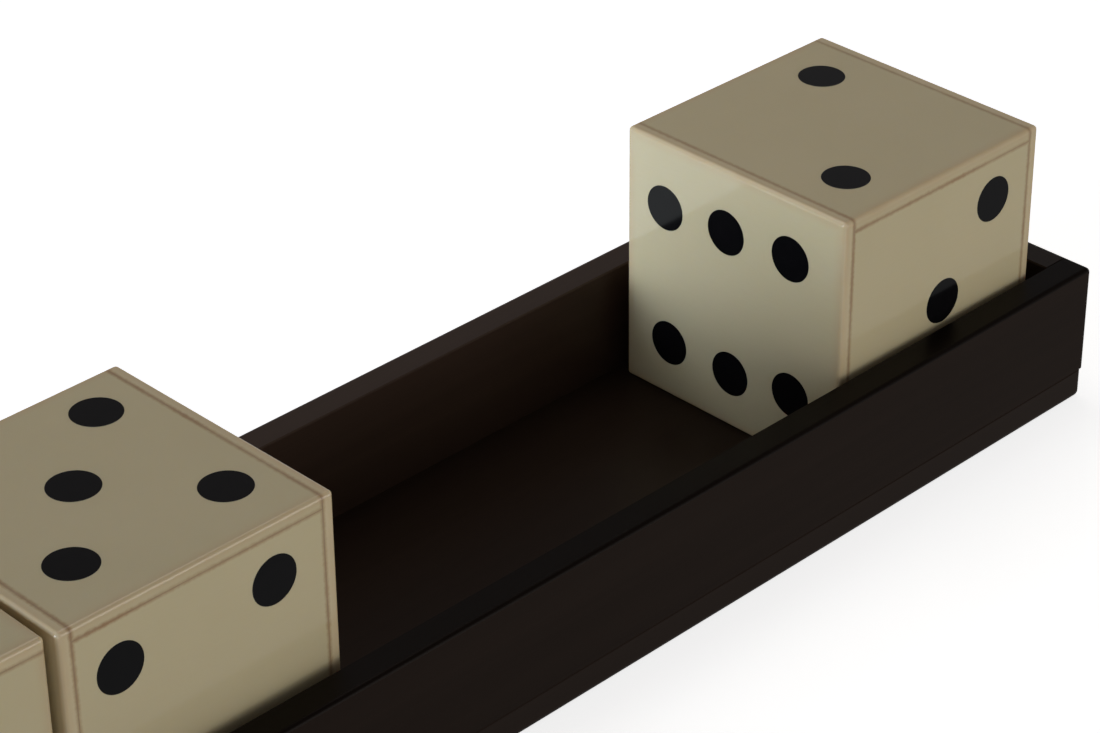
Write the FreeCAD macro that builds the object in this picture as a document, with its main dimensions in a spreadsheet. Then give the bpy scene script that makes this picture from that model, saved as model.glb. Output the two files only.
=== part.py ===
import FreeCAD, Part
import Sketcher
import os
import random
import re

# A set of giant dice in a long dark wooden tray.
#
# Each die is a wooden block faced with six ivory-coloured resin panels. The panels on the faces of one
# and six are full squares, those of two and five fit between them, and those of three and four fit
# inside all four, so that thin glue seams run just inside the edges. Black discs are inlaid flush as
# pips. The tray is a flat base board with four walls standing on it, butted at the corners, held by
# hidden dowels and by screws driven up from underneath. It has places for five dice and holds three.
#
# The origin is on the surface that the tray stands on, under its middle. +X runs along the tray,
# +Y across it and +Z up. Every size is in millimetres.

Vector, Rotation, Placement = FreeCAD.Vector, FreeCAD.Rotation, FreeCAD.Placement
X, Y, Z = Vector(1, 0, 0), Vector(0, 1, 0), Vector(0, 0, 1)

DRIVING_SIZES = [
    ("die_edge", 90.0, "outer edge of a die"),
    ("panel_thickness", 4.0, "resin panels that face the wooden block"),
    ("edge_round", 1.4, "radius of a die's outer edges"),
    ("seam_ease", 0.12, "bevel of the panels' edges at a glue seam"),
    ("core_ease", 0.5, "bevel of the wooden block's edges"),
    ("pip_diameter", 15.0, "inlaid disc"),
    ("pip_depth", 2.0, "how deep a disc is let in"),
    ("pip_spacing", 25.0, "from the middle of a face to the next row of pips"),
    ("glue_line", 0.05, "gap round a pip or a dowel, filled by glue"),
    ("inner_length", 487.4, "inside of the tray, along X"),
    ("inner_width", 97.6, "inside of the tray, along Y"),
    ("wall", 10.3, "thickness of the walls"),
    ("wall_height", 37.4, "walls, above the base board"),
    ("base", 10.4, "thickness of the base board"),
    ("rim_round", 1.6, "radius of the rim's outer edge and of the tray's upright corners"),
    ("rim_ease", 0.4, "bevel of the rim's inner edge and of the boards' edges at their joint"),
    ("base_inset", 0.2, "how far the base board's edge lies inside the walls"),
    ("base_round", 2.4, "radius of the base board's lower edge"),
    ("dowel_diameter", 5.0, "hidden dowels at the corners"),
    ("dowel_in_end", 11.0, "depth of a dowel hole in an end wall"),
    ("dowel_in_side", 6.5, "depth of a dowel hole in a long wall"),
    ("dowel_end_gap", 0.5, "gap at each end of a dowel"),
    ("screw_diameter", 3.0, "shank of a base screw"),
    ("screw_head", 6.0, "diameter of its countersunk head"),
    ("screw_length", 25.0, "head and point included"),
    ("screw_point", 4.0, "length of its conical point"),
    ("screw_tip", 0.4, "diameter of the point's flat end"),
    ("screw_sink", 0.4, "how far its head is sunk into the base"),
    ("screw_gap", 0.1, "gap between a screw and its hole"),
    ("recess_length", 3.6, "cross recess in a screw's head, from end to end of an arm"),
    ("recess_width", 0.9, "width of its arms"),
    ("recess_depth", 1.1, "its depth"),
]

# Pips of each face, in steps of pip_spacing along the panel's own two axes.
CORNERS = [(-1, -1), (-1, 1), (1, -1), (1, 1)]
PIPS = {
    "one": [(0, 0)],
    "two": [(-1, -1), (1, 1)],
    "three": [(-1, -1), (0, 0), (1, 1)],
    "four": CORNERS,
    "five": CORNERS + [(0, 0)],
    "six": CORNERS + [(0, -1), (0, 1)],
}
# Each face's outward direction and the direction of its panel's own X axis, in the die's frame.
FACES = {
    "one": (X, Y),
    "two": (Z, X),
    "three": (-Y, X),
    "four": (Y, -X),
    "five": (-Z, X),
    "six": (-X, -Y),
}
# Which panels reach the die's edges along their own X and Y axes.
REACHES = {
    "one": (True, True),
    "six": (True, True),
    "two": (False, True),
    "five": (False, True),
    "three": (False, False),
    "four": (False, False),
}
# The dice: distance of the middle from the tray's middle along X and Y, and how the die is turned.
# They were put in by hand, so each is a little off square.
DICE = {
    "die_1": (-189.0, 3.0, Rotation(Z, 90 - 0.8) * Rotation(Y, -90)),
    "die_2": (-97.4, 0.7, Rotation(Z, 0.1) * Rotation(X, 180)),
    "die_3": (192.5, -1.2, Rotation(Z, -0.4)),
}
# The pips were set by eye. These sit off their even spacing by this much along the panel's two axes,
# and the others by up to PIP_WANDER.
STRAY_PIPS = {
    ("die_3", "two"): {(-1, -1): (2.4, -0.3), (1, 1): (-2.0, 0.3)},
    ("die_3", "three"): {(0, 0): (2.6, -0.4), (1, 1): (-0.5, 1.9)},
    ("die_3", "six"): {
        (-1, 1): (-3.6, -2.8),
        (0, 1): (-2.8, -1.4),
        (1, 1): (-1.3, -0.1),
        (-1, -1): (-1.2, -0.7),
        (0, -1): (0.2, -0.8),
        (1, -1): (0.4, 2.4),
    },
    ("die_2", "five"): {(0, 0): (-1.2, 4.7), (1, 1): (0.5, 4.0), (1, -1): (1.6, 1.3), (-1, -1): (1.5, 1.9)},
    ("die_2", "four"): {(-1, -1): (1.3, -2.2), (1, -1): (2.0, -0.9)},
}
PIP_WANDER = 0.8

SCREW_X_SHARES = (-0.44, -0.15, 0.15, 0.44)  # places along a long wall, as shares of its length
SCREW_Y_SHARES = (-0.25, 0.25)  # places along an end wall
DOWEL_Z_SHARES = (0.3, 0.72)  # heights of the dowels, as shares of the wall's height

doc = FreeCAD.newDocument("giant_dice")
sheet = doc.addObject("Spreadsheet::Sheet", "Sizes")
for row, (alias, value, meaning) in enumerate(DRIVING_SIZES, start=1):
    sheet.set(f"A{row}", alias)
    sheet.set(f"B{row}", str(value))
    sheet.setAlias(f"B{row}", alias)
    sheet.set(f"C{row}", meaning)
doc.recompute()
size = {alias: value for alias, value, _ in DRIVING_SIZES}

nodes = []


def keep(thing, label, placement=None):
    """Names a finished sub-part and puts it in its place."""
    thing.Label = label
    if placement is not None:
        thing.Placement = placement
    nodes.append(thing)
    return thing


def bind(thing, **expressions):
    """Ties properties of an object to the sizes in the sheet."""
    for prop, expression in expressions.items():
        thing.setExpression(prop, with_sheet(expression))
    return thing


def with_sheet(expression):
    """Puts the sheet's name before each size that an expression uses."""
    return re.sub(r"[a-z_]+", lambda word: f"Sizes.{word[0]}" if word[0] in size else word[0], expression)


def new_body(name):
    return doc.addObject("PartDesign::Body", name)


def sketch_on(body, plane, offset=None):
    """A sketch on one of the body's own origin planes, offset along the plane's normal."""
    found = [f for f in body.Origin.OriginFeatures if f.Role == plane][0]
    sketch = body.newObject("Sketcher::SketchObject", f"{body.Name}_sketch")
    sketch.AttachmentSupport = [(found, "")]
    sketch.MapMode = "FlatFace"
    if offset:
        sketch.setExpression("AttachmentOffset.Base.z", with_sheet(offset))
    return sketch


def centred_rectangle(sketch, width, height):
    """A rectangle about the sketch's origin, with its two sides tied to expressions."""
    corners = [Vector(-10, -10, 0), Vector(10, -10, 0), Vector(10, 10, 0), Vector(-10, 10, 0)]
    for start, end in zip(corners, corners[1:] + corners[:1]):
        sketch.addGeometry(Part.LineSegment(start, end))
    for side in range(4):
        sketch.addConstraint(Sketcher.Constraint("Coincident", side, 2, (side + 1) % 4, 1))
    for side, kind in enumerate(("Horizontal", "Vertical", "Horizontal", "Vertical")):
        sketch.addConstraint(Sketcher.Constraint(kind, side))
    sketch.addConstraint(Sketcher.Constraint("Symmetric", 0, 1, 1, 2, -1, 1))
    for name, side, kind, value in (("width", 0, "DistanceX", width), ("height", 1, "DistanceY", height)):
        index = sketch.addConstraint(Sketcher.Constraint(kind, side, 1, side, 2, 20.0))
        sketch.renameConstraint(index, name)
        sketch.setExpression(f"Constraints.{name}", with_sheet(value))


def circles(sketch, centres, diameter):
    """Circles of one diameter. Each centre is two expressions, or numbers, from the sketch's origin."""
    for number, centre in enumerate(centres):
        place = Vector(*[evaluate(c) for c in centre], 0)
        across = evaluate(diameter)
        sketch.addGeometry(Part.Circle(place, Z, across / 2))
        index = sketch.addConstraint(Sketcher.Constraint("Diameter", number, across))
        sketch.setExpression(f"Constraints[{index}]", with_sheet(diameter))
        for kind, value, position in (("DistanceX", centre[0], place.x), ("DistanceY", centre[1], place.y)):
            index = sketch.addConstraint(Sketcher.Constraint(kind, -1, 1, number, 3, position))
            sketch.setExpression(f"Constraints[{index}]", with_sheet(value))


def evaluate(expression):
    """The value of an expression in the sheet's sizes."""
    return float(sheet.evalExpression(expression))


def pad(body, sketch, length, reverse=False):
    feature = body.newObject("PartDesign::Pad", f"{body.Name}_pad")
    feature.Profile = sketch
    feature.Reversed = reverse
    bind(feature, Length=length)
    doc.recompute()
    return feature


def pocket(body, sketch, depth, reverse=False):
    """A pocket, which has to take something away."""
    before = body.Shape.Volume
    feature = body.newObject("PartDesign::Pocket", f"{body.Name}_pocket")
    feature.Profile = sketch
    feature.Reversed = reverse
    bind(feature, Length=depth)
    doc.recompute()
    if body.Shape.Volume > before - 1e-3:
        raise RuntimeError(f"{feature.Name} cuts nothing")
    return feature


def edges_where(shape, wanted):
    """Names of the edges whose middle point passes a test."""
    names = []
    for number, edge in enumerate(shape.Edges, start=1):
        middle = edge.valueAt((edge.FirstParameter + edge.LastParameter) / 2)
        if wanted(middle):
            names.append(f"Edge{number}")
    return names


def dress(body, kind, wanted, expression):
    """A fillet or a chamfer on the edges that pass a test."""
    base = body.Tip
    feature = body.newObject(f"PartDesign::{kind}", f"{body.Name}_{kind.lower()}")
    feature.Base = (base, edges_where(base.Shape, wanted))
    bind(feature, **{"Radius" if kind == "Fillet" else "Size": expression})
    doc.recompute()
    return feature


def near(a, b):
    return abs(a - b) < 1e-4


def pip_centres(die, face):
    """The places of a face's pips, as expressions along the panel's two axes."""
    wander = random.Random(f"{die} {face}")
    strays = STRAY_PIPS.get((die, face), {})
    centres = []
    for step in PIPS[face]:
        even_odds = [round(wander.uniform(-PIP_WANDER, PIP_WANDER), 1) for _ in step]
        stray = strays.get(step, even_odds)
        centres.append([f"{step[k]} * pip_spacing + {stray[k]}" for k in range(2)])
    return centres


def on_face(face, depth):
    """Placement of a panel or a pip group in the die's frame: its Z axis outward, depth below the face."""
    outward, along = FACES[face]
    across = outward.cross(along)
    turn = Rotation(along, across, outward, "ZXY")
    return Placement(outward * (size["die_edge"] / 2 - depth), turn)


def make_panel(die, face, place):
    """A resin panel with its pip pockets, rounded where it makes a die's edge and eased at the seams."""
    reach_x, reach_y = REACHES[face]
    short = "die_edge - 2 * panel_thickness"
    width, height = "die_edge" if reach_x else short, "die_edge" if reach_y else short
    body = new_body(f"{die}_panel_{face}")
    outline = sketch_on(body, "XY_Plane")
    centred_rectangle(outline, width, height)
    pad(body, outline, "panel_thickness")
    half_x, half_y, top = evaluate(width) / 2, evaluate(height) / 2, size["panel_thickness"]

    def is_die_edge(p):
        at_x, at_y = near(abs(p.x), half_x), near(abs(p.y), half_y)
        if near(p.z, top):
            return (at_x and reach_x) or (at_y and reach_y)
        return at_x and at_y and reach_x and reach_y

    def is_seam_edge(p):
        at_x, at_y = near(abs(p.x), half_x), near(abs(p.y), half_y)
        if near(p.z, top):
            return (at_x and not reach_x) or (at_y and not reach_y)
        return near(p.z, 0) and ((at_x and reach_x) or (at_y and reach_y))

    if reach_x or reach_y:
        dress(body, "Fillet", is_die_edge, "edge_round")
    dress(body, "Chamfer", is_seam_edge, "seam_ease")
    holes = sketch_on(body, "XY_Plane", "panel_thickness")
    circles(holes, pip_centres(die, face), "pip_diameter + 2 * glue_line")
    pocket(body, holes, "pip_depth")
    keep(body, f"{die}_panel_{face}", place * on_face(face, size["panel_thickness"]))


def make_pips(die, face, place, disc):
    """The inlaid discs of one face, as separate solids in one group."""
    links = []
    for number, centre in enumerate(pip_centres(die, face), start=1):
        link = doc.addObject("App::Link", f"{die}_{face}_disc_{number}")
        link.LinkedObject = disc
        link.Placement = Placement(Vector(*[evaluate(c) for c in centre], 0), Rotation())
        links.append(link)
    group = doc.addObject("Part::Compound", f"{die}_pips_{face}")
    group.Links = links
    keep(group, f"{die}_pips_{face}", place * on_face(face, size["pip_depth"]))


def make_core(die, place):
    """The wooden block inside a die."""
    body = new_body(f"{die}_core")
    outline = sketch_on(body, "XY_Plane", "panel_thickness - die_edge / 2")
    edge = "die_edge - 2 * panel_thickness"
    centred_rectangle(outline, edge, edge)
    pad(body, outline, edge)
    dress(body, "Chamfer", lambda p: True, "core_ease")
    keep(body, f"{die}_core", place)


def make_long_wall(label, place):
    """A long wall, with its foot at Z = 0 and its inner face towards +Y."""
    body = new_body(label)
    length = "inner_length + 2 * wall"
    outline = sketch_on(body, "XY_Plane")
    centred_rectangle(outline, length, "wall")
    pad(body, outline, "wall_height")
    half, mid, top = evaluate(length) / 2, size["wall"] / 2, size["wall_height"]

    def is_outer(p):
        rim = near(p.z, top) and (near(p.y, -mid) or near(abs(p.x), half))
        return rim or (near(p.y, -mid) and near(abs(p.x), half))

    def is_eased(p):
        foot = near(p.z, 0) and not near(p.y, mid)
        return foot or (near(p.z, top) and near(p.y, mid))

    dress(body, "Fillet", is_outer, "rim_round")
    dress(body, "Chamfer", is_eased, "rim_ease")
    dowels = sketch_on(body, "XZ_Plane", "-wall / 2")
    dowel_x = "inner_length / 2 + wall / 2"
    centres = [
        (f"{side} * ( {dowel_x} )", f"{share} * wall_height")
        for side in (-1, 1)
        for share in DOWEL_Z_SHARES
    ]
    circles(dowels, centres, "dowel_diameter + 2 * glue_line")
    pocket(body, dowels, "dowel_in_side", reverse=True)
    screws = sketch_on(body, "XY_Plane")
    centres = [(f"{share} * ( {length} )", "0") for share in SCREW_X_SHARES]
    circles(screws, centres, "screw_diameter + 2 * screw_gap")
    pocket(body, screws, "screw_length + screw_sink + screw_gap - base", reverse=True)
    keep(body, label, place)


def make_end_wall(label, place):
    """An end wall between the long walls, with its foot at Z = 0 and its inner face towards -X."""
    body = new_body(label)
    outline = sketch_on(body, "XY_Plane")
    centred_rectangle(outline, "wall", "inner_width")
    pad(body, outline, "wall_height")
    mid, top = size["wall"] / 2, size["wall_height"]
    dress(body, "Fillet", lambda p: near(p.z, top) and near(p.x, mid), "rim_round")

    def is_eased(p):
        return (near(p.z, top) and near(p.x, -mid)) or (near(p.z, 0) and near(p.x, mid))

    dress(body, "Chamfer", is_eased, "rim_ease")
    for side in (-1, 1):
        dowels = sketch_on(body, "XZ_Plane", f"{-side} * inner_width / 2")
        centres = [("0", f"{share} * wall_height") for share in DOWEL_Z_SHARES]
        circles(dowels, centres, "dowel_diameter + 2 * glue_line")
        pocket(body, dowels, "dowel_in_end", reverse=side > 0)
    screws = sketch_on(body, "XY_Plane")
    centres = [("0", f"{share} * inner_width") for share in SCREW_Y_SHARES]
    circles(screws, centres, "screw_diameter + 2 * screw_gap")
    pocket(body, screws, "screw_length + screw_sink + screw_gap - base", reverse=True)
    keep(body, label, place)


def screw_places():
    """The axes of the base screws: under the middle of each wall."""
    length = size["inner_length"] + 2 * size["wall"]
    side = (size["inner_width"] + size["wall"]) / 2
    end = (size["inner_length"] + size["wall"]) / 2
    along = [Vector(share * length, y, 0) for y in (-side, side) for share in SCREW_X_SHARES]
    across = [Vector(x, share * size["inner_width"], 0) for x in (-end, end) for share in SCREW_Y_SHARES]
    return along + across


def screw_form(name, gap):
    """A countersunk screw, or the hole for it where gap is its clearance. It points up, head at Z = 0."""
    head = bind(
        doc.addObject("Part::Cone", f"{name}_head"),
        Radius1=f"screw_head / 2 + {gap}",
        Radius2=f"screw_diameter / 2 + {gap}",
        Height="( screw_head - screw_diameter ) / 2",
    )
    shank = bind(
        doc.addObject("Part::Cylinder", f"{name}_shank"),
        Radius=f"screw_diameter / 2 + {gap}",
        Height="screw_length - screw_point",
    )
    point = bind(
        doc.addObject("Part::Cone", f"{name}_point"),
        Radius1="screw_diameter / 2",
        Radius2="screw_tip / 2",
        Height="screw_point",
    )
    point.setExpression("Placement.Base.z", with_sheet("screw_length - screw_point"))
    whole = doc.addObject("Part::MultiFuse", name)
    whole.Shapes = [head, shank, point]
    whole.Refine = True
    return whole


def make_screws():
    """The base screws, with a cross recess in each head, as one group."""
    form = screw_form("screw_form", "0")
    arms = []
    for number, angle in enumerate((0, 90)):
        arm = bind(
            doc.addObject("Part::Box", f"recess_arm_{number}"),
            Length="recess_length",
            Width="recess_width",
            Height="recess_depth",
        )
        corner = Vector(-size["recess_length"] / 2, -size["recess_width"] / 2, 0)
        turn = Rotation(Z, angle)
        arm.Placement = Placement(turn.multVec(corner), turn)
        arms.append(arm)
    recess = doc.addObject("Part::MultiFuse", "recess")
    recess.Shapes = arms
    screw = doc.addObject("Part::Cut", "screw")
    screw.Base = form
    screw.Tool = recess
    links = []
    for number, place in enumerate(screw_places(), start=1):
        link = doc.addObject("App::Link", f"screw_{number}")
        link.LinkedObject = screw
        link.Placement = Placement(place, Rotation())
        links.append(link)
    group = doc.addObject("Part::Compound", "base_screws")
    group.Links = links
    keep(group, "base_screws", Placement(Vector(0, 0, size["screw_sink"]), Rotation()))


def make_base():
    """The base board, rounded below, with a countersunk hole for each screw."""
    body = new_body("base_blank")
    outline = sketch_on(body, "XY_Plane")
    margins = "2 * wall - 2 * base_inset"
    centred_rectangle(outline, f"inner_length + {margins}", f"inner_width + {margins}")
    pad(body, outline, "base")
    half_x = evaluate(f"inner_length + {margins}") / 2
    half_y = evaluate(f"inner_width + {margins}") / 2
    top = size["base"]

    def is_lower_or_upright(p):
        return near(p.z, 0) or (near(abs(p.x), half_x) and near(abs(p.y), half_y))

    dress(body, "Fillet", is_lower_or_upright, "base_round")
    dress(body, "Chamfer", lambda p: near(p.z, top), "rim_ease")
    hole = screw_form("screw_hole", "screw_gap")
    mouth = bind(
        doc.addObject("Part::Cylinder", "screw_mouth"),
        Radius="screw_head / 2 + screw_gap",
        Height="screw_sink",
    )
    links = []
    for number, place in enumerate(screw_places(), start=1):
        for form, height in ((hole, size["screw_sink"]), (mouth, 0.0)):
            link = doc.addObject("App::Link", f"{form.Name}_{number}")
            link.LinkedObject = form
            link.Placement = Placement(place + Vector(0, 0, height), Rotation())
            links.append(link)
    holes = doc.addObject("Part::Compound", "screw_holes")
    holes.Links = links
    board = doc.addObject("Part::Cut", "tray_base")
    board.Base = body
    board.Tool = holes
    keep(board, "tray_base")


def make_dowels():
    """Two hidden dowels at each corner, from a long wall into the end of an end wall."""
    dowel = bind(
        doc.addObject("Part::Cylinder", "dowel"),
        Radius="dowel_diameter / 2",
        Height="dowel_in_side + dowel_in_end - 2 * dowel_end_gap",
    )
    length = size["dowel_in_side"] + size["dowel_in_end"] - 2 * size["dowel_end_gap"]
    outer_end = size["inner_width"] / 2 + size["dowel_in_side"] - size["dowel_end_gap"]
    end_wall = (size["inner_length"] + size["wall"]) / 2
    links = []
    for x in (-end_wall, end_wall):
        for y in (-outer_end, outer_end - length):
            for share in DOWEL_Z_SHARES:
                link = doc.addObject("App::Link", f"dowel_{len(links) + 1}")
                link.LinkedObject = dowel
                place = Vector(x, y, size["base"] + share * size["wall_height"])
                link.Placement = Placement(place, Rotation(X, -90))
                links.append(link)
    group = doc.addObject("Part::Compound", "corner_dowels")
    group.Links = links
    keep(group, "corner_dowels", Placement())


def make_tray():
    """The base board, the four walls on it, and what holds them together."""
    make_base()
    side = (size["inner_width"] + size["wall"]) / 2
    end = (size["inner_length"] + size["wall"]) / 2
    foot = size["base"]
    make_long_wall("near_wall", Placement(Vector(0, -side, foot), Rotation()))
    make_long_wall("far_wall", Placement(Vector(0, side, foot), Rotation(Z, 180)))
    make_end_wall("right_end_wall", Placement(Vector(end, 0, foot), Rotation()))
    make_end_wall("left_end_wall", Placement(Vector(-end, 0, foot), Rotation(Z, 180)))
    make_dowels()
    make_screws()


def make_dice():
    """The dice, standing on the base board."""
    disc = bind(doc.addObject("Part::Cylinder", "disc"), Radius="pip_diameter / 2", Height="pip_depth")
    for die, (x, y, turn) in DICE.items():
        place = Placement(Vector(x, y, size["base"] + size["die_edge"] / 2), turn)
        make_core(die, place)
        for face in FACES:
            make_panel(die, face, place)
            make_pips(die, face, place, disc)


def write_parts():
    """Checks every object and writes each sub-part to its own file."""
    doc.recompute()
    failed = [o.Name for o in doc.Objects if {"Invalid", "Error"} & set(o.State)]
    if failed:
        raise RuntimeError(f"these objects failed: {failed}")
    os.makedirs("parts", exist_ok=True)
    for node in nodes:
        shape = node.Shape
        if shape.isNull() or not shape.isValid() or not shape.Solids:
            raise RuntimeError(f"{node.Label} has no valid shape")
        shape.exportStep(f"parts/{node.Label}.step")
    print(f"{len(nodes)} sub-parts written")


make_tray()
make_dice()
write_parts()
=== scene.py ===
"""Giant ivory-coloured dice in a long dark wooden tray: materials, glue seams, light and camera.

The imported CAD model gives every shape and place, in metres. The dice keep their CAD panels and pips, and the
tray its boards. This script adds the glue that shows in the seams, and gives everything its material.
"""

import math
import random

import bmesh
import bpy
from mathutils import Matrix, Vector


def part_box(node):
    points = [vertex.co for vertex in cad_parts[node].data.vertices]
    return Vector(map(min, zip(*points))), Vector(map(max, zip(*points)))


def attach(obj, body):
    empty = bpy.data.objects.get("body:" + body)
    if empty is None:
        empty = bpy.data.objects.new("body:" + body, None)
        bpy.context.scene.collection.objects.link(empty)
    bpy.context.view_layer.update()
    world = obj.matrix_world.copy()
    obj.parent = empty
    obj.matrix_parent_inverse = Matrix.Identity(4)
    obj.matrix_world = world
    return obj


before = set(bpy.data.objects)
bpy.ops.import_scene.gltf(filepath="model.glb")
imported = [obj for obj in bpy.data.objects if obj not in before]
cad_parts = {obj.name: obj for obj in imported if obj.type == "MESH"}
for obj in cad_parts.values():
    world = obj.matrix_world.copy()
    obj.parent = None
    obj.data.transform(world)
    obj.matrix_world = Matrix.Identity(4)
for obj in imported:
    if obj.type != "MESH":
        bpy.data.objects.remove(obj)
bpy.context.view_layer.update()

MM = 0.001
DICE = ("die_1", "die_2", "die_3")
FACES = ("one", "two", "three", "four", "five", "six")
# The tray's boards: the axis that the grain runs along, how much the lacquer shines, and the painted light and
# shade on the face that looks along -Y and on the top: how much lighter or darker each is made for how light
# falls on it.
BOARDS = {
    "tray_base": (0, 0.10, 1.0, 1.25),
    "near_wall": (0, 0.07, 0.95, 0.25),
    "far_wall": (0, 0.22, 2.7, 2.3),
    "right_end_wall": (1, 0.16, 1.0, 0.8),
    "left_end_wall": (1, 0.16, 1.0, 0.8),
}
# How much lighter or darker a board's other faces are painted.
OTHER_FACES_PAINTED_LIGHT = 1.0
# How strongly the glue has stained each die's seams.
SEAM_STAINS = {"die_1": 0.8, "die_2": 0.9, "die_3": 0.8}

# The photograph's camera. Its place is in die edges from the third die's lower near corner, its angles are in
# radians, and its focal length and sensor width are in millimetres.
CAMERA_OFFSET = (-7.4453, -6.2234, 6.3725)
CAMERA_HEADING = 0.79645
CAMERA_PITCH = 0.5487
CAMERA_ROLL = -0.0099
CAMERA_LENS = 110.57
SENSOR_WIDTH = 36.0
CLIP_START, CLIP_END = 0.05, 50.0


def centre(node):
    low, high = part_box(node)
    return (low + high) / 2


def die_frame(die):
    """The die's own frame, from its middle: +X out of the one, +Y out of the four and +Z out of the two."""
    middle = {face: centre(f"{die}_panel_{face}") for face in FACES}
    opposites = (("one", "six"), ("four", "three"), ("two", "five"))
    axes = [(middle[front] - middle[back]).normalized() for front, back in opposites]
    turn = Matrix(axes).transposed().to_4x4()
    return Matrix.Translation((middle["one"] + middle["six"]) / 2) @ turn


DIE_FRAMES = {die: die_frame(die) for die in DICE}
DIE_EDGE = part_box("die_3_panel_two")[1].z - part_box("die_3_panel_five")[0].z
# From a die's middle to its faces, and to its block's.
HALF = DIE_EDGE / 2
CORE_HALF = (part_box("die_3_core")[1].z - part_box("die_3_core")[0].z) / 2


# ---------------------------------------------------------------------------------------------------------
# Materials

# The resin's colours: its clouds and streaks, and what shows along the edges and seams.
RESIN_DARK = (0.635, 0.545, 0.335, 1)
RESIN_LIGHT = (0.685, 0.59, 0.375, 1)
RESIN_STREAK = (0.58, 0.49, 0.29, 1)
PANEL_EDGE_CREAM = (0.76, 0.64, 0.41, 1)
EDGE_TAN = (0.60, 0.41, 0.235, 1)
# A painted highlight: the paler cream along the rounded edges.
EDGE_HIGHLIGHT_CREAM = (0.70, 0.59, 0.40, 1)
SOAKED_BROWN = (0.40, 0.225, 0.11, 1)
# The glue's colours: where it is clear, and where it is stained.
GLUE_CLEAR = (0.58, 0.45, 0.28, 1)
GLUE_DARK = (0.16, 0.075, 0.035, 1)
GLUE_LIGHT = (0.50, 0.35, 0.20, 1)
# The discs' colours.
PIP_DARK = (0.003, 0.003, 0.0035, 1)
PIP_LIGHT = (0.006, 0.0055, 0.006, 1)
# The tray's colours: its grain, and the clouds in its stain.
GRAIN_DARK = (0.0095, 0.0057, 0.0040, 1)
GRAIN_LIGHT = (0.026, 0.0155, 0.0107, 1)
STAIN_CLOUD = (0.0145, 0.0089, 0.0062, 1)
# The hidden pieces' colours.
BLOCK_DARK, BLOCK_LIGHT = (0.50, 0.38, 0.25, 1), (0.62, 0.49, 0.34, 1)
DOWEL_DARK, DOWEL_LIGHT = (0.55, 0.42, 0.27, 1), (0.68, 0.54, 0.37, 1)
STEEL_DARK, STEEL_LIGHT = (0.42, 0.42, 0.43, 1), (0.60, 0.60, 0.60, 1)


class Graph:
    """A material's nodes.

    node and vector return the node that they add. The others that add nodes return the last one's output.
    """

    def __init__(self, name):
        self.material = bpy.data.materials.new(name)
        self.material.use_nodes = True
        self.tree = self.material.node_tree
        self.shader = self.tree.nodes["Principled BSDF"]

    def node(self, kind, inputs=None, **settings):
        made = self.tree.nodes.new(kind)
        for key, value in settings.items():
            setattr(made, key, value)
        for key, value in (inputs or {}).items():
            self.feed(made.inputs[key], value)
        return made

    def feed(self, socket, value):
        """Links an output to the socket, or sets the socket to a value."""
        if isinstance(value, bpy.types.NodeSocket):
            self.tree.links.new(value, socket)
        else:
            socket.default_value = value

    def math(self, operation, *values, clamp=False):
        inputs = dict(enumerate(values))
        return self.node("ShaderNodeMath", inputs, operation=operation, use_clamp=clamp).outputs[0]

    def vector(self, operation, first, second):
        return self.node("ShaderNodeVectorMath", {0: first, 1: second}, operation=operation)

    def fade(self, value, start, end):
        """1 where value is start, falling smoothly to 0 where it is end."""
        inputs = {"Value": value, "From Min": start, "From Max": end, "To Min": 1.0, "To Max": 0.0}
        made = self.node("ShaderNodeMapRange", inputs, interpolation_type="SMOOTHSTEP")
        return made.outputs["Result"]

    def spread(self, value, low, high):
        """Spreads a 0 to 1 value between two others."""
        made = self.node("ShaderNodeMapRange", {"Value": value, "To Min": low, "To Max": high})
        return made.outputs["Result"]

    def noise(self, vector, scale, detail=2.0, roughness=0.5, distortion=0.0):
        inputs = {
            "Vector": vector,
            "Scale": scale,
            "Detail": detail,
            "Roughness": roughness,
            "Distortion": distortion,
        }
        return self.node("ShaderNodeTexNoise", inputs).outputs["Fac"]

    def mix(self, factor, first, second, blend="MIX"):
        made = self.node("ShaderNodeMix", data_type="RGBA", blend_type=blend)
        for index, value in ((0, factor), (6, first), (7, second)):
            self.feed(made.inputs[index], value)
        return made.outputs[2]

    def place(self, where=None, stretch=(1, 1, 1)):
        """The position on the object, in the frame given, with its axes scaled.

        Dot products do the frame's turn, because at a quarter turn about Y three angles are ambiguous.
        """
        spot = self.node("ShaderNodeTexCoord").outputs["Object"]
        if where is not None:
            offset = self.vector("SUBTRACT", spot, where.translation).outputs["Vector"]
            along = [self.vector("DOT_PRODUCT", offset, axis.xyz).outputs["Value"] for axis in where.col[:3]]
            spot = self.node("ShaderNodeCombineXYZ", dict(enumerate(along))).outputs[0]
        if stretch != (1, 1, 1):
            spot = self.node("ShaderNodeMapping", {"Vector": spot, "Scale": stretch}).outputs[0]
        return spot

    def bump(self, height, strength, distance, normal=None):
        inputs = {"Height": height, "Strength": strength, "Distance": distance}
        if normal is not None:
            inputs["Normal"] = normal
        return self.node("ShaderNodeBump", inputs).outputs[0]

    def finish(self, **sockets):
        """Feeds the shader, and returns the material. A keyword is a socket's name, with _ for each space."""
        for key, value in sockets.items():
            self.feed(self.shader.inputs[key.replace("_", " ")], value)
        return self.material


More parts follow.
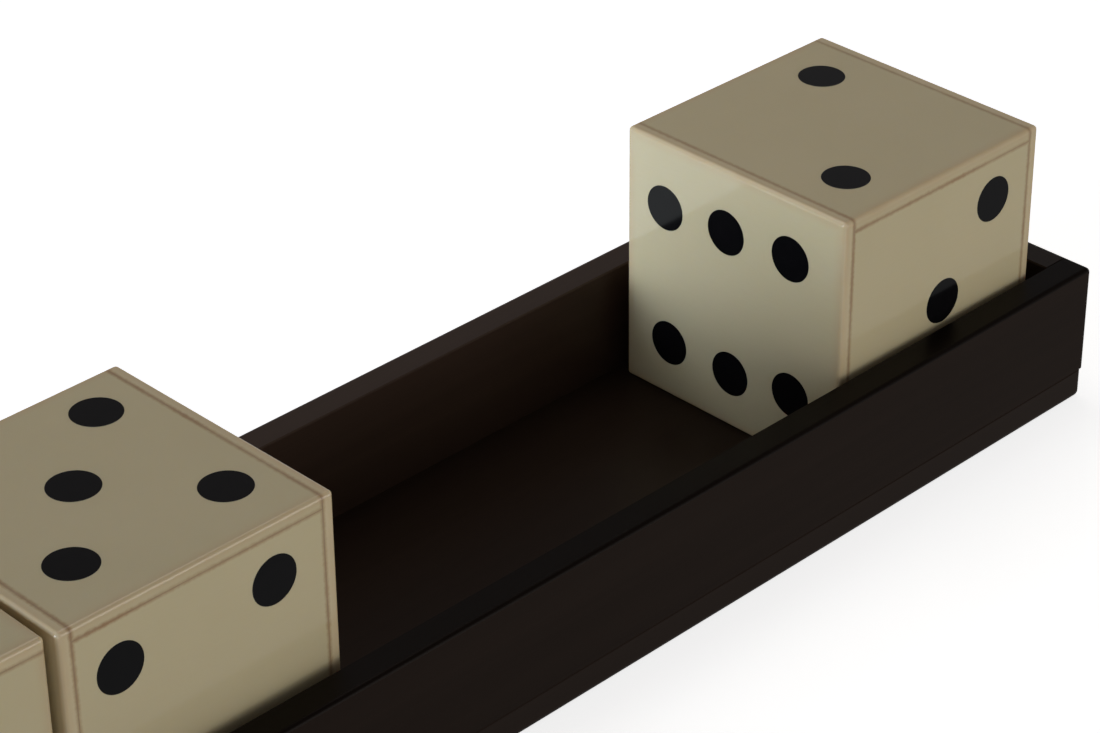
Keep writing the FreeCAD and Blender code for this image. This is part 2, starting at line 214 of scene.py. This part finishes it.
def ivory(die):
    """Cast resin: creamy, faintly clouded, stained tan along the edges and where the glue has soaked in."""
    g = Graph(f"{die}_ivory")
    spot = g.place(DIE_FRAMES[die])
    axes = g.node("ShaderNodeSeparateXYZ", {"Vector": spot}).outputs
    x, y, z = (g.math("ABSOLUTE", axis) for axis in axes)
    # On a face the largest of the three is HALF, and next to an edge the second largest nears it too.
    second = g.math("MAXIMUM", g.math("MINIMUM", x, y), g.math("MINIMUM", g.math("MAXIMUM", x, y), z))
    from_edge = g.math("SUBTRACT", HALF, second)

    # A seam goes round beside each full panel, at X. On the faces at Y two more run between them, at Z.
    seam_x = g.math("ABSOLUTE", g.math("SUBTRACT", x, CORE_HALF))
    seam_z = g.math("ABSOLUTE", g.math("SUBTRACT", z, CORE_HALF))
    past_end = g.math("SUBTRACT", x, CORE_HALF)
    face_skin = 0.5 * MM
    off_face = g.math("SUBTRACT", HALF - face_skin, y)
    seam_z = g.math("MAXIMUM", seam_z, g.math("MAXIMUM", past_end, off_face))
    from_seam = g.math("MINIMUM", seam_x, seam_z)

    clouds = g.noise(spot, 28.0, 3.0, 0.55)
    colour = g.mix(clouds, RESIN_DARK, RESIN_LIGHT)
    streak_stretch = (90, 90, 1600)
    streaks = g.noise(g.place(DIE_FRAMES[die], streak_stretch), 1.0, 2.0, 0.5)
    colour = g.mix(g.spread(streaks, 0.0, 0.2), colour, RESIN_STREAK)

    # The full panels' own edges, which show as pale strips between a seam and the die's edge.
    strip_middle, strip_half = (CORE_HALF + HALF) / 2, 1.6 * MM
    panel_edge = g.math("COMPARE", x, strip_middle, strip_half)
    colour = g.mix(g.math("MULTIPLY", panel_edge, 0.6), colour, PANEL_EDGE_CREAM)

    # Tan in patches beside the die's edges, and a painted highlight: paler cream on the rounded edges
    # themselves.
    patches = g.noise(spot, 90.0, 2.0, 0.6)
    tan = g.math("MULTIPLY", g.fade(from_edge, 0.5 * MM, 4.6 * MM), g.spread(patches, 0.1, 0.6))
    colour = g.mix(tan, colour, EDGE_TAN)
    painted_edge_highlight = g.math("MULTIPLY", g.fade(from_edge, 0.1 * MM, 1.0 * MM), 0.3)
    colour = g.mix(painted_edge_highlight, colour, EDGE_HIGHLIGHT_CREAM)

    # Glue that has soaked in beside the seams, with a ragged outline, in some stretches more than in others.
    raggedness, soak_width = 0.5 * MM, 1.3 * MM
    wobble = g.spread(g.noise(spot, 600.0, 3.0, 0.6), -raggedness, raggedness)
    stretches = g.noise(spot, 35.0, 2.0, 0.6)
    soaked = g.fade(g.math("ADD", from_seam, wobble), 0.0, soak_width)
    soaked = g.math("MULTIPLY", soaked, g.spread(stretches, 0.0, 1.5))
    colour = g.mix(g.math("MULTIPLY", soaked, SEAM_STAINS[die], clamp=True), colour, SOAKED_BROWN)
    waves = g.bump(g.noise(spot, 45.0, 2.0), 0.2, 0.12 * MM)
    return g.finish(
        Base_Color=colour,
        Roughness=g.spread(g.noise(spot, 160.0, 3.0), 0.05, 0.10),
        Normal=waves,
        IOR=1.5,
        Subsurface_Weight=0.25,
        Subsurface_Scale=1.0,
        Subsurface_Radius=(0.0022, 0.0016, 0.0009),
    )


def black_resin():
    """The inlaid discs: black, polished with the faces."""
    g = Graph("black_pips")
    spot = g.place()
    tone = g.mix(g.noise(spot, 300.0, 3.0), PIP_DARK, PIP_LIGHT)
    return g.finish(
        Base_Color=tone,
        Roughness=g.spread(g.noise(spot, 220.0, 3.0), 0.06, 0.13),
        Normal=g.bump(g.noise(spot, 60.0), 0.3, 0.08 * MM),
        Specular_IOR_Level=0.16,
    )


def glue(die):
    """Brown glue in the seams, darker in some stretches than in others."""
    g = Graph(f"{die}_glue")
    spot = g.place()
    tone = g.mix(g.noise(spot, 140.0, 3.0, 0.6), GLUE_DARK, GLUE_LIGHT)
    tone = g.mix(SEAM_STAINS[die], GLUE_CLEAR, tone)
    return g.finish(Base_Color=tone, Roughness=0.5)


def dark_wood(name, grain_axis, sheen, front_painted_light, top_painted_light):
    """Close-grained wood under a dark stain and a satin lacquer. The grain runs along one axis.

    The face that looks along -Y and the top are painted lighter or darker, as light and shade, by their own
    factors.
    """
    g = Graph(name)
    along, across = 1.2, 55.0
    stretch = tuple(along if axis == grain_axis else across for axis in range(3))
    grain = g.noise(g.place(stretch=stretch), 1.6, 6.0, 0.62, 0.6)
    pore_fineness = 14
    pores = g.noise(g.place(stretch=tuple(pore_fineness * scale for scale in stretch)), 1.0, 2.0, 0.5)
    clouds = g.noise(g.place(), 14.0, 3.0)
    tone = g.mix(grain, GRAIN_DARK, GRAIN_LIGHT)
    tone = g.mix(g.spread(clouds, 0.0, 0.5), tone, STAIN_CLOUD)

    # A point is on the front or the top by how far its normal leans that way. The top takes in most of its
    # rounded edges, the front half of its own.
    front_limit, top_limit = -0.7, 0.3
    normal = g.node("ShaderNodeTexCoord").outputs["Normal"]
    looks = g.node("ShaderNodeSeparateXYZ", {"Vector": normal}).outputs
    in_front = g.math("LESS_THAN", looks["Y"], front_limit)
    on_top = g.math("GREATER_THAN", looks["Z"], top_limit)
    # Painted light and shade: the front and the top are made lighter or darker by their own factors.
    painted_light = g.spread(on_top, g.spread(in_front, OTHER_FACES_PAINTED_LIGHT, front_painted_light), top_painted_light)
    surface = g.bump(pores, 0.25, 0.05 * MM, g.bump(grain, 0.25, 0.12 * MM))
    return g.finish(
        Base_Color=g.mix(1.0, tone, painted_light, "MULTIPLY"),
        Roughness=g.spread(grain, 0.28, 0.42),
        Normal=surface,
        Specular_IOR_Level=sheen,
        Specular_Tint=(1.0, 0.86, 0.78, 1),
    )


def plain_wood(name, dark, light):
    """Unstained wood of the hidden blocks and dowels, with its grain along X."""
    g = Graph(name)
    grain_stretch = (4, 60, 60)
    rings = g.noise(g.place(stretch=grain_stretch), 1.5, 5.0, 0.6, 0.8)
    return g.finish(Base_Color=g.mix(rings, dark, light), Roughness=0.65, Normal=g.bump(rings, 0.3, 0.1 * MM))


def steel():
    """Zinc-plated screws, faintly mottled."""
    g = Graph("screw_steel")
    spot = g.place()
    tone = g.mix(g.noise(spot, 400.0, 3.0), STEEL_DARK, STEEL_LIGHT)
    return g.finish(Base_Color=tone, Metallic=1.0, Roughness=g.spread(g.noise(spot, 900.0, 2.0), 0.25, 0.45))


def coat(node, material):
    """Gives a CAD node its material."""
    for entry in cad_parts[node].material_slots:
        entry.material = material


def coat_everything():
    pips = black_resin()
    block = plain_wood("block_wood", BLOCK_DARK, BLOCK_LIGHT)
    for die in DICE:
        resin = ivory(die)
        coat(f"{die}_core", block)
        for face in FACES:
            coat(f"{die}_panel_{face}", resin)
            coat(f"{die}_pips_{face}", pips)
    for node, board in BOARDS.items():
        coat(node, dark_wood(f"{node}_wood", *board))
    coat("corner_dowels", plain_wood("dowel_wood", DOWEL_DARK, DOWEL_LIGHT))
    coat("base_screws", steel())


# ---------------------------------------------------------------------------------------------------------
# Glue in the seams

# A bead of glue: its width, its depth, and how far its top lies under the faces.
SEAM_WIDTH = 0.36 * MM
SEAM_DEPTH = 0.18 * MM
SEAM_SINK = 0.03 * MM
# How the bead's width and sink vary along it, as shares of those.
WIDTH_RANGE = (0.75, 1.0)
SINK_RANGE = (0.6, 2.0)
# The rounding of a die's edges that a bead follows, in CORNER_STEPS steps, and the step on the straight.
EDGE_ROUND = 1.4 * MM
CORNER_STEPS = 6
SEAM_STEP = 2.0 * MM


def rounded_square(half, radius):
    """Points round a square with rounded corners, in a plane, each with its outward direction."""
    points = []
    inner = half - radius
    per_side = int(2 * inner / SEAM_STEP)
    for quarter in range(4):
        turn = Matrix.Rotation(quarter * math.pi / 2, 2)
        for step in range(CORNER_STEPS + 1):
            angle = step * math.pi / 2 / CORNER_STEPS
            outward = Vector((math.cos(angle), math.sin(angle)))
            points.append((turn @ (Vector((inner, inner)) + outward * radius), turn @ outward))
        for step in range(1, per_side):
            along = inner - 2 * inner * step / per_side
            points.append((turn @ Vector((along, half)), turn @ Vector((0, 1))))
    return points


def strip(bm, path, across, closed, wander):
    """A thin bead of glue along a path of (point, outward) pairs. Its section is a triangle, point down."""
    rings = []
    for point, outward in path:
        half_width = SEAM_WIDTH / 2 * wander.uniform(*WIDTH_RANGE)
        top = point - outward * SEAM_SINK * wander.uniform(*SINK_RANGE)
        bottom = point - outward * (SEAM_SINK + SEAM_DEPTH)
        corners = (top - across * half_width, top + across * half_width, bottom)
        rings.append([bm.verts.new(corner) for corner in corners])
    pairs = list(zip(rings, rings[1:]))
    if closed:
        pairs.append((rings[-1], rings[0]))
    else:
        bm.faces.new(rings[0])
        bm.faces.new(rings[-1][::-1])
    for first, second in pairs:
        for k in range(3):
            bm.faces.new((first[k], second[k], second[(k + 1) % 3], first[(k + 1) % 3]))


def make_glue(die, material):
    """All the glue that shows on one die: beside both full panels, and between them on the two faces at Y."""
    wander = random.Random(die)
    bm = bmesh.new()
    for side in (-1, 1):
        loop = [
            (Vector((side * CORE_HALF, point.x, point.y)), Vector((0, outward.x, outward.y)))
            for point, outward in rounded_square(HALF, EDGE_ROUND)
        ]
        strip(bm, loop, Vector((1, 0, 0)), True, wander)
    steps = int(2 * CORE_HALF / SEAM_STEP)
    for y_side in (-1, 1):
        for z_side in (-1, 1):
            outward = Vector((0, y_side, 0))
            line = [
                (Vector((-CORE_HALF + 2 * CORE_HALF * k / steps, y_side * HALF, z_side * CORE_HALF)), outward)
                for k in range(steps + 1)
            ]
            strip(bm, line, Vector((0, 0, 1)), False, wander)
    bm.transform(DIE_FRAMES[die])
    bmesh.ops.recalc_face_normals(bm, faces=bm.faces)
    mesh = bpy.data.meshes.new(f"{die}_seam_glue")
    bm.to_mesh(mesh)
    bm.free()
    mesh.materials.append(material)
    piece = bpy.data.objects.new(f"{die}_seam_glue", mesh)
    bpy.context.scene.collection.objects.link(piece)
    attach(piece, die)


# ---------------------------------------------------------------------------------------------------------
# Floor, light and camera

# The room's light by height: the sine of the angle above the horizon, and the colour there.
ROOM = [
    (-1.0, (0.25, 0.25, 0.25)),
    (-0.35, (0.27, 0.27, 0.27)),
    (-0.05, (0.75, 0.75, 0.75)),
    (0.05, (0.85, 0.85, 0.85)),
    (0.22, (0.22, 0.22, 0.225)),
    (0.55, (0.205, 0.195, 0.195)),
    (1.0, (0.08, 0.075, 0.07)),
]


def make_floor():
    """A white floor, a hair below the tray so that no two faces share a place.

    The light that it throws back on the object comes from the lower half of the world.
    """
    reach, drop = 30.0, 0.1 * MM
    mesh = bpy.data.meshes.new("floor")
    corners = [(-reach, -reach, -drop), (reach, -reach, -drop), (reach, reach, -drop), (-reach, reach, -drop)]
    mesh.from_pydata(corners, [], [(0, 1, 2, 3)])
    floor = bpy.data.objects.new("floor", mesh)
    bpy.context.scene.collection.objects.link(floor)
    g = Graph("floor_white")
    mesh.materials.append(
        g.finish(
            Base_Color=(0.85, 0.85, 0.85, 1),
            Roughness=0.9,
            Emission_Color=(1, 1, 1, 1),
            Emission_Strength=0.75,
            Specular_IOR_Level=0.1,
        )
    )
    floor.visible_diffuse = floor.visible_glossy = floor.visible_shadow = False


def make_world():
    """The room: the light from the floor below, a bright wall at the horizon and a darker ceiling."""
    world = bpy.data.worlds.new("studio")
    world.use_nodes = True
    tree = world.node_tree
    coordinates = tree.nodes.new("ShaderNodeTexCoord")
    split = tree.nodes.new("ShaderNodeSeparateXYZ")
    ramp = tree.nodes.new("ShaderNodeValToRGB")
    height = tree.nodes.new("ShaderNodeMapRange")
    height.inputs["From Min"].default_value = -1.0
    ramp.color_ramp.elements.remove(ramp.color_ramp.elements[0])
    for index, (level, tone) in enumerate(ROOM):
        place = (level + 1) / 2
        stop = ramp.color_ramp.elements[0] if index == 0 else ramp.color_ramp.elements.new(place)
        stop.position = place
        stop.color = (*tone, 1)
    tree.links.new(coordinates.outputs["Generated"], split.inputs[0])
    tree.links.new(split.outputs["Z"], height.inputs["Value"])
    tree.links.new(height.outputs["Result"], ramp.inputs["Fac"])
    tree.links.new(ramp.outputs["Color"], tree.nodes["Background"].inputs["Color"])
    bpy.context.scene.world = world


def softbox(name, azimuth, elevation, distance, size, watts, colour, sheen_only=False):
    """A square area light that faces the object. Its angles are in degrees, the azimuth from +X towards +Y.

    One that is sheen_only shows in glossy reflections and gives no diffuse light.
    """
    light = bpy.data.lights.new(name, "AREA")
    light.shape = "SQUARE"
    light.size = size
    light.energy = watts
    light.color = colour
    lamp = bpy.data.objects.new(name, light)
    bpy.context.scene.collection.objects.link(lamp)
    turn, lift = math.radians(azimuth), math.radians(elevation)
    away = Vector((math.cos(turn) * math.cos(lift), math.sin(turn) * math.cos(lift), math.sin(lift)))
    lamp.location = away * distance
    lamp.rotation_mode = "QUATERNION"
    lamp.rotation_quaternion = away.to_track_quat("Z", "Y")
    lamp.visible_diffuse = not sheen_only


def make_lights():
    """A window low on the left, two soft lamps, and the floor behind on the left, seen as a reflection."""
    softbox(
        "key_light",
        azimuth=166,
        elevation=8,
        distance=2.2,
        size=0.9,
        watts=36,
        colour=(0.86, 1.0, 1.20),
    )
    softbox(
        "front_light",
        azimuth=292,
        elevation=10,
        distance=2.2,
        size=1.2,
        watts=9.2,
        colour=(1.0, 0.99, 0.96),
    )
    softbox(
        "top_light",
        azimuth=50,
        elevation=70,
        distance=0.9,
        size=0.5,
        watts=1.08,
        colour=(1.0, 0.93, 0.88),
    )
    softbox(
        "floor_sheen",
        azimuth=134,
        elevation=-31,
        distance=2.2,
        size=3.0,
        watts=18,
        colour=(0.92, 1.0, 1.0),
        sheen_only=True,
    )


def make_camera():
    """The photograph's camera."""
    data = bpy.data.cameras.new("camera")
    data.lens = CAMERA_LENS
    data.sensor_width = SENSOR_WIDTH
    data.clip_start, data.clip_end = CLIP_START, CLIP_END
    camera = bpy.data.objects.new("camera", data)
    bpy.context.scene.collection.objects.link(camera)
    corner = DIE_FRAMES["die_3"] @ Vector((-HALF, -HALF, -HALF))
    forward = Vector(
        (
            math.cos(CAMERA_PITCH) * math.cos(CAMERA_HEADING),
            math.cos(CAMERA_PITCH) * math.sin(CAMERA_HEADING),
            -math.sin(CAMERA_PITCH),
        )
    )
    level = Vector((math.sin(CAMERA_HEADING), -math.cos(CAMERA_HEADING), 0))
    upright = level.cross(forward)
    right = math.cos(CAMERA_ROLL) * level + math.sin(CAMERA_ROLL) * upright
    up = math.cos(CAMERA_ROLL) * upright - math.sin(CAMERA_ROLL) * level
    pose = Matrix((right, up, -forward)).transposed().to_4x4()
    camera.matrix_world = Matrix.Translation(corner + Vector(CAMERA_OFFSET) * DIE_EDGE) @ pose
    bpy.context.scene.camera = camera


make_camera()
coat_everything()
for die in DICE:
    make_glue(die, glue(die))
make_floor()
make_world()
make_lights()
bpy.context.scene.view_settings.view_transform = "Standard"
